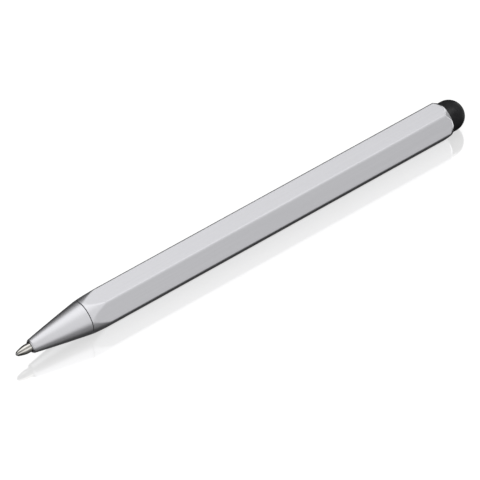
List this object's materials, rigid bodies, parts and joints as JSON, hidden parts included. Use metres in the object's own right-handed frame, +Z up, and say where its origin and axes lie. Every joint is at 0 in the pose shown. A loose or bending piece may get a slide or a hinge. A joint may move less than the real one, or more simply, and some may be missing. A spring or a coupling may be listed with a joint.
{
  "type": "touchscreen stylus pen",
  "caption": "Hexagonal aluminium pen with a rubber touch tip at its rear and a ballpoint that a twist of the conical nose draws in.",
  "frame": {"origin": "under the middle of the pen's length, on the surface that it lies on", "axes": "+X along the pen from the writing point to the touch tip, +Z up, square to the flat it lies on"},
  "size_m": [0.1402, 0.0108, 0.0095],
  "materials": {
    "barrel_aluminium": "satin silver anodised",
    "nose_aluminium": "turned, satin silver anodised",
    "brass": "turned",
    "refill_brass": "drawn tube",
    "nickel_silver": "polished",
    "ball_metal": "ground and polished",
    "spring_steel": "plain",
    "polymer": "moulded",
    "ring_rubber": "matt",
    "dome_rubber": "soft matt",
    "foam": "open cell",
    "ink": "paste"
  },
  "bodies": {
    "barrel": {"barrel": "barrel_aluminium", "front_bush": "brass", "cam_sleeve": "polymer", "rear_plug": "brass", "plug_ring": "ring_rubber", "stylus_foam": "foam", "stylus_dome": "dome_rubber"},
    "nose": {"nose_cone": "nose_aluminium", "seam_washer": "ring_rubber", "nose_coupling": "brass", "friction_ring": "ring_rubber", "retaining_ring": "spring_steel", "carrier_sleeve": "brass"},
    "cartridge": {"plunger": "polymer", "cross_pin": "spring_steel", "refill_tube": "refill_brass", "ink_column": "ink", "refill_tail": "polymer", "refill_tip": "nickel_silver", "writing_ball": "ball_metal"}
  },
  "joints": [
    {"name": "nose_twist", "type": "hinge", "parent": "barrel", "child": "nose", "pos_m": [-0.05, 0, 0.00475], "axis": [1, 0, 0], "range_deg": [0, 180]},
    {"name": "refill_slide", "type": "slide", "parent": "nose", "child": "cartridge", "axis": [1, 0, 0], "range_m": [0, 0.0055]}
  ],
  "couplings": [
    {"joint": "refill_slide", "follows": "nose_twist", "m_per_rad": 0.0017507}
  ]
}
